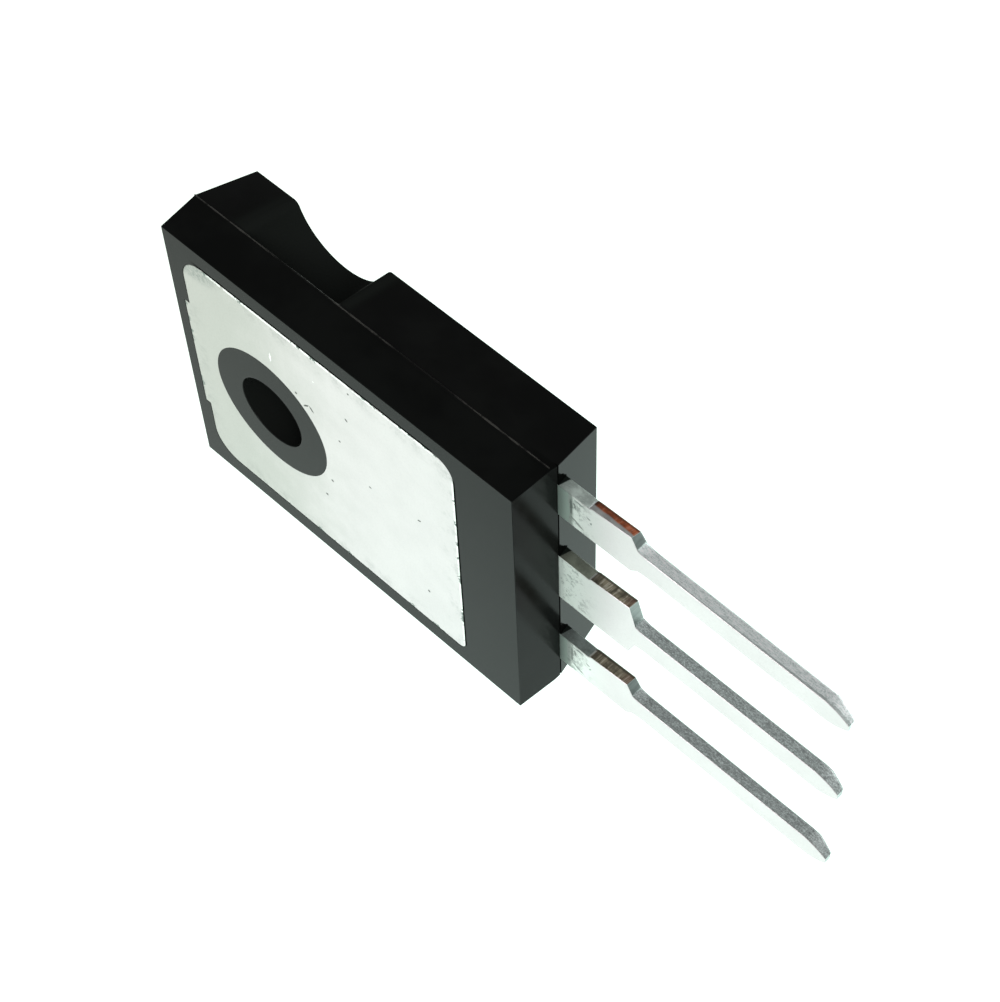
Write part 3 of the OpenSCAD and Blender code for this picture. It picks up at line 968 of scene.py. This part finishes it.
def face_edges(bm, facing, x0):
    """The sharp edges beyond x0 round a face that points along Y (1) or against it (-1)."""
    found = []
    for edge in sharp_edges(bm, 50):
        slopes = sorted(facing * face.normal.y for face in edge.link_faces)
        if slopes[0] < 0.5 < slopes[1] and max(v.co.x for v in edge.verts) > x0 + WELD:
            found.append(edge)
    return found


def bent_back(bm, s, t, x0, bend, heights):
    """Carries the centre lead's inner end down the bend and into the tab's front gauge."""
    y0, y1 = heights
    thick = y1 - y0
    rise = y0 - (t.thickness - thick)
    run = rise / math.tan(s.bend_angle)
    shift = math.tan(s.bend_angle / 2)
    ends = [f for f in bm.faces if abs(f.normal.x) > 0.9]
    face = min(ends, key=lambda f: f.calc_center_median().x)
    for vert in face.verts:
        vert.co.x -= shift * (vert.co.y - y0)
    for step in ((-run, -rise, 0), (x0 - (bend - run), 0, 0)):
        face = extruded(bm, [face], step)[0]
    return turned_out(bm)


def drawn_leads(s, span):
    """The three straight leads, by the node that each belongs to."""
    heights = lead_heights()
    rows = {
        "gate_lead": (s.pitch, s.outer_neck, s.gate_roll, s.gate_lean),
        "header": (0.0, s.centre_neck, s.drain_roll, s.other_lean),
        "source_lead": (-s.pitch, s.outer_neck, s.source_roll, s.other_lean),
    }
    leads = {}
    for node, row in rows.items():
        leads[node] = lead_form(s, *row, span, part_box(node)[1].x * MM, heights)
    return leads


def share_out_metals(obj, s, end, z):
    """Gives a lead's stamped edges the second material, and what the dam bar was sheared
    from the third."""
    for face in obj.data.polygons:
        x, _, up = face.center
        if x < end - OVER or not -0.6 < face.normal.y < 0.9:
            continue
        on_cut = end + s.dam_start + WELD < x < end + s.shoulder_at
        is_cut = on_cut and face.normal.z > 0.3 and up > z
        face.material_index = 2 if is_cut else 1


# Operators


class TRANSISTOR_OT_add_moulding(bpy.types.Operator):
    """Models the black body with its hole, notches, ejector marks and the seats of the metal"""

    bl_idname = "transistor.add_moulding"
    bl_label = "Add Moulding"

    def execute(self, context):
        s = chosen("moulding")
        t = chosen("tab")
        leads = chosen("leads")
        low, high = body_box()
        plane = lead_heights()[0]
        block = body_block(s, low, high, plane)
        rounded(block, sharp_edges(block, 30), s.edge, 3)
        body = to_object(block, "moulding_body")
        tools = [notch_cutter(s, high, side) for side in (1, -1)]
        tools.append(bar_along_y(0, 0, -OVER, high.y + OVER, s.hole_r, s.hole_r))
        combined(body, tools, "DIFFERENCE")
        reshaped(body, lambda bm: rounded(bm, hole_rims(bm, s), s.hole_rim, 2))
        tools = []
        for side in (1, -1):
            tools.append(bar_along_y(
                high.x - s.mark_inset, side * (high.z - s.mark_inset), high.y - s.mark_depth,
                high.y + OVER, s.mark_r, s.mark_r, 48,
            ))
        tools.append(diamond_bar(
            (high.x, plane, low.z - OVER), (high.x, plane, high.z + OVER), s.groove_width, 2 * s.groove,
        ))
        combined(body, tools, "DIFFERENCE")
        seat = to_object(tab_form(t, low, high, 0), "seat")
        combined(seat, [bar_along_y(0, 0, -OVER, high.y, t.hole_r, t.hole_r)], "DIFFERENCE")
        pocket = bmesh.new()
        pocket.from_mesh(seat.data)
        bpy.data.objects.remove(seat)
        lead_cutters = drawn_leads(leads, (high.x - OVER, high.x))
        combined(body, [pocket, *lead_cutters.values()], "DIFFERENCE")
        finish_piece(body, "moulding_body", [compound_material()], ["moulding"])
        return {"FINISHED"}


class TRANSISTOR_OT_add_flash(bpy.types.Operator):
    """Adds the thin fin of flash along the parting line of three sides"""

    bl_idname = "transistor.add_flash"
    bl_label = "Add Parting Flash"

    def execute(self, context):
        s = chosen("moulding")
        seed = chosen("stage").seed
        low, high = body_box()
        inset = FLASH_DEPTH / 2 - s.flash
        whole = bmesh.new()
        for side in (1, -1):
            z = side * (high.z - inset)
            end = high.x - s.flash_stop
            self.add_run(whole, s, (low.x, s.parting, z), (end, s.parting, z), 240)
        x = low.x + inset
        self.add_run(whole, s, (x, s.parting, low.z), (x, s.parting, high.z), 180)
        for vert in whole.verts:
            along, across = vert.co.x, vert.co.z
            swell = 0.5 + 0.5 * math.cos(2 * math.pi * (along - 4) / s.flash_swell)
            place = Vector((along, seed, across))
            rough = noise.noise(place * 1.3) + 0.5 * noise.noise(place * 6.0)
            reach = s.flash * (0.9 * swell - 0.5 + rough)
            if abs(across) > high.z:
                vert.co.z += math.copysign(reach, across)
            if along < low.x:
                vert.co.x -= reach
            up = vert.co.y - s.parting
            if abs(up) > WELD:
                vert.co.y += math.copysign(s.flash_width * 0.25 * (swell - 0.5 + rough), up)
        flash = to_object(whole, "parting_flash")
        finish_piece(flash, "parting_flash", [flash_material()])
        return {"FINISHED"}

    def add_run(self, whole, s, start, stop, cuts):
        """One straight run of flash, added to the whole."""
        run = diamond_bar(start, stop, s.flash_width, FLASH_DEPTH, cuts)
        mesh = bpy.data.meshes.new("run")
        run.to_mesh(mesh)
        run.free()
        whole.from_mesh(mesh)
        bpy.data.meshes.remove(mesh)


class TRANSISTOR_OT_add_header(bpy.types.Operator):
    """Models the bare tab and the centre lead as one stamped piece"""

    bl_idname = "transistor.add_header"
    bl_label = "Add Header"

    def execute(self, context):
        t = chosen("tab")
        s = chosen("leads")
        finish = chosen("finishes")
        low, high = body_box()
        tab = to_object(tab_form(t, low, high, t.rim), "header_metal")
        combined(tab, [bar_along_y(0, 0, -OVER, t.thickness + OVER, t.hole_r, t.hole_r)], "DIFFERENCE")
        bend = high.x - BEND_DEPTH
        lead = drawn_leads(s, (bend, high.x))["header"]
        bent_back(lead, s, t, high.x - t.lead_margin - TAB_LAP, bend, lead_heights())
        combined(tab, [lead], "UNION")
        share_out_metals(tab, s, high.x, 0.0)
        metals = [
            tin_material("header_tin", 0.05, 0.3, on_tab=True),
            stamped_material("header_edge", 1.03, finish.drain_film, 0.58, 1.0),
            sheared_material("header_cut", finish.bronze, 1.0, 0.04),
        ]
        finish_piece(tab, "header_metal", metals, ["header"])
        return {"FINISHED"}


class TRANSISTOR_OT_add_outer_leads(bpy.types.Operator):
    """Models the gate lead and the source lead, each with its bond pad in the moulding"""

    bl_idname = "transistor.add_outer_leads"
    bl_label = "Add Outer Leads"

    def execute(self, context):
        s = chosen("leads")
        finish = chosen("finishes")
        high = body_box()[1]
        pad_x1 = high.x - PAD_DEPTH
        leads = drawn_leads(s, (pad_x1 - PAD_LAP, high.x))
        looks = {
            "gate_lead": (
                1, s.gate_bend, (0.55, 1.0), (1.75, finish.gate_film, 0.42, 0.5),
                (finish.copper, 0.2, 0.3),
            ),
            "source_lead": (
                -1, 0.0, (0.42, 0.9), (1.0, finish.source_film, 0.4, 1.0),
                (finish.bronze, 1.0, 0.04),
            ),
        }
        for node, (side, bend, film, edge, cut) in looks.items():
            inner, outer = (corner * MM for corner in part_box(node))
            z = side * s.pitch
            pad_z0 = inner.z if side > 0 else z - s.outer_neck / 2
            pad_z1 = z + s.outer_neck / 2 if side > 0 else outer.z
            corners = [(inner.x, pad_z0), (pad_x1, pad_z0), (pad_x1, pad_z1), (inner.x, pad_z1)]
            pad = drawn_plate(corners, *lead_heights(), [(i, PAD_CORNER) for i in range(4)])
            obj = combined(to_object(leads[node], node + "_metal"), [pad], "UNION")
            share_out_metals(obj, s, high.x, z)
            for vert in obj.data.vertices:
                along = (vert.co.x - high.x - s.shoulder_at) / (outer.x - high.x - s.shoulder_at)
                vert.co.y -= bend * max(0, along)
            stains = [(high.x + out, z + up, *shape) for out, up, *shape in LEAD_STAINS]
            metals = [
                tin_material(node + "_tin", *film, stains=stains),
                stamped_material(node + "_edge", *edge),
                sheared_material(node + "_cut", *cut),
            ]
            finish_piece(obj, node + "_metal", metals, [node])
        return {"FINISHED"}


class TRANSISTOR_OT_finish_inner_pieces(bpy.types.Operator):
    """Gives the die, its solder and the bond wires their finishes"""

    bl_idname = "transistor.finish_inner_pieces"
    bl_label = "Finish Inner Pieces"

    def execute(self, context):
        looks = {
            "die": ((0.3, 0.33, 0.4), 0.15, 1.0, 6.0),
            "die_solder": ((0.55, 0.56, 0.6), 0.45, 1.0, 4.0),
            "gate_wire": ((0.85, 0.85, 0.84), 0.3, 1.0, 8.0),
            "source_wire": ((0.85, 0.85, 0.84), 0.3, 1.0, 8.0),
        }
        for name, (rgb, roughness, metal, scale) in looks.items():
            n = Nodes(name + "_finish")
            grain = n.noise(scale, 3.0, 0.6)
            n.set(Base_Color=n.mix(grain, rgba(rgb, 0.85), rgba(rgb, 1.1)), Metallic=metal)
            n.set(Roughness=n.step(grain, 0.3, 0.7, roughness, roughness + 0.1))
            for node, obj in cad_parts.items():
                if node == name or node.startswith(name + "_") and node != "die_solder":
                    obj.data.materials.clear()
                    obj.data.materials.append(n.owner)
        return {"FINISHED"}


class TRANSISTOR_OT_add_stage(bpy.types.Operator):
    """Sets the camera, a pale floor and soft light"""

    bl_idname = "transistor.add_stage"
    bl_label = "Add Stage"

    def execute(self, context):
        scene = context.scene
        s = chosen("stage")
        self.add_floor(s)
        self.add_lights()
        self.add_world(scene, s)
        self.add_camera(scene, s)
        scene.view_settings.view_transform = "Standard"
        return {"FINISHED"}

    def add_floor(self, s):
        """A flat floor just clear of the flash that glows like a light table."""
        bm = bmesh.new()
        drop = FLOOR_DROP * chosen("moulding").flash / MM
        place = Matrix.Translation((0, 0, CAD_BOX[0][2] - drop))
        bmesh.ops.create_grid(bm, x_segments=1, y_segments=1, size=s.floor_size / MM / 2, matrix=place)
        floor = to_object(bm, "floor")
        n = Nodes("pale_floor")
        x = n.parts[0]
        glow = n.mix(n.step(x, -25.0, 20.0), (*s.floor_left, 1), (*s.floor_right, 1))
        n.set(Base_Color=(0.3, 0.3, 0.3, 1), Roughness=0.7)
        n.set(Emission_Color=glow, Emission_Strength=s.floor_glow)
        floor.data.materials.append(n.owner)

    def add_lights(self):
        """Soft boxes, each (name, place, size, power) in metres and watts."""
        target = Vector((0.008, 0.0025, 0))
        boxes = [
            ("key_light", (0.32, -0.22, 0.34), 0.25, 1.6),
            ("rim_light", (-0.164, -0.332, 0.156), 0.2, 0.35),
            ("back_light", (0.133, 0.323, 0.152), 0.2, 0.3),
        ]
        for name, place, size, power in boxes:
            data = bpy.data.lights.new(name, "AREA")
            data.shape = "DISK"
            data.size = size
            data.energy = power
            obj = bpy.data.objects.new(name, data)
            bpy.context.scene.collection.objects.link(obj)
            obj.location = place
            obj.rotation_euler = (target - Vector(place)).to_track_quat("-Z", "Y").to_euler()

    def add_world(self, scene, s):
        """A dim room, lighter above the body's top end than beyond the leads."""
        n = Nodes("room", "worlds", "Background")
        inputs = {0: n.add("TexCoord").outputs["Generated"], 1: (-0.8, 0.0, 0.6)}
        lean = n.add("VectorMath", inputs, operation="DOT_PRODUCT").outputs["Value"]
        inputs = {"Value": lean, "From Min": -1.0, "To Min": s.room_dark, "To Max": s.room_light}
        n.set(Color=(1, 1, 1, 1), Strength=n.add("MapRange", inputs).outputs["Result"])
        scene.world = n.owner

    def add_camera(self, scene, s):
        """The camera at the photo's place."""
        forward = Vector((
            math.sin(s.azimuth) * math.cos(s.elevation),
            math.cos(s.azimuth) * math.cos(s.elevation),
            -math.sin(s.elevation),
        ))
        level = forward.cross(Vector((0, 0, 1))).normalized()
        upright = level.cross(forward)
        right = level * math.cos(s.roll) + upright * math.sin(s.roll)
        above = right.cross(forward)
        data = bpy.data.cameras.new("camera")
        data.sensor_fit = "HORIZONTAL"
        data.sensor_width = 36.0
        data.lens = s.lens
        data.clip_start = 0.001
        data.clip_end = 20.0
        camera = bpy.data.objects.new("camera", data)
        scene.collection.objects.link(camera)
        turn = Matrix((right, above, -forward)).transposed()
        aim = Vector((s.aim_x, s.aim_y, s.aim_z))
        camera.matrix_world = Matrix.Translation((aim - forward * s.distance) / MM) @ turn.to_4x4()
        scene.camera = camera


class VIEW3D_PT_transistor(bpy.types.Panel):
    """Lists the steps that build the transistor"""

    bl_idname = "VIEW3D_PT_transistor"
    bl_label = "Power Transistor"
    bl_space_type = "VIEW_3D"
    bl_region_type = "UI"
    bl_category = "Transistor"

    def draw(self, context):
        for step in STEPS:
            self.layout.operator(step.bl_idname)


STEPS = (
    TRANSISTOR_OT_add_moulding,
    TRANSISTOR_OT_add_flash,
    TRANSISTOR_OT_add_header,
    TRANSISTOR_OT_add_outer_leads,
    TRANSISTOR_OT_finish_inner_pieces,
    TRANSISTOR_OT_add_stage,
)
GROUPS = {
    "transistor_moulding": MouldingSizes,
    "transistor_tab": TabSizes,
    "transistor_leads": LeadSizes,
    "transistor_finishes": Finishes,
    "transistor_stage": StageSettings,
}


def register():
    """Registers the classes and hangs the settings on the scene."""
    for name, group in GROUPS.items():
        bpy.utils.register_class(group)
        setattr(bpy.types.Scene, name, PointerProperty(type=group))
    for step in STEPS + (VIEW3D_PT_transistor,):
        bpy.utils.register_class(step)


def unregister():
    """Takes the classes and the settings away again."""
    for step in (VIEW3D_PT_transistor,) + STEPS[::-1]:
        bpy.utils.unregister_class(step)
    for name, group in GROUPS.items():
        delattr(bpy.types.Scene, name)
        bpy.utils.unregister_class(group)


def main():
    """Runs every step in order."""
    register()
    for step in STEPS:
        area, name = step.bl_idname.split(".")
        getattr(getattr(bpy.ops, area), name)()


if __name__ == "__main__":
    main()
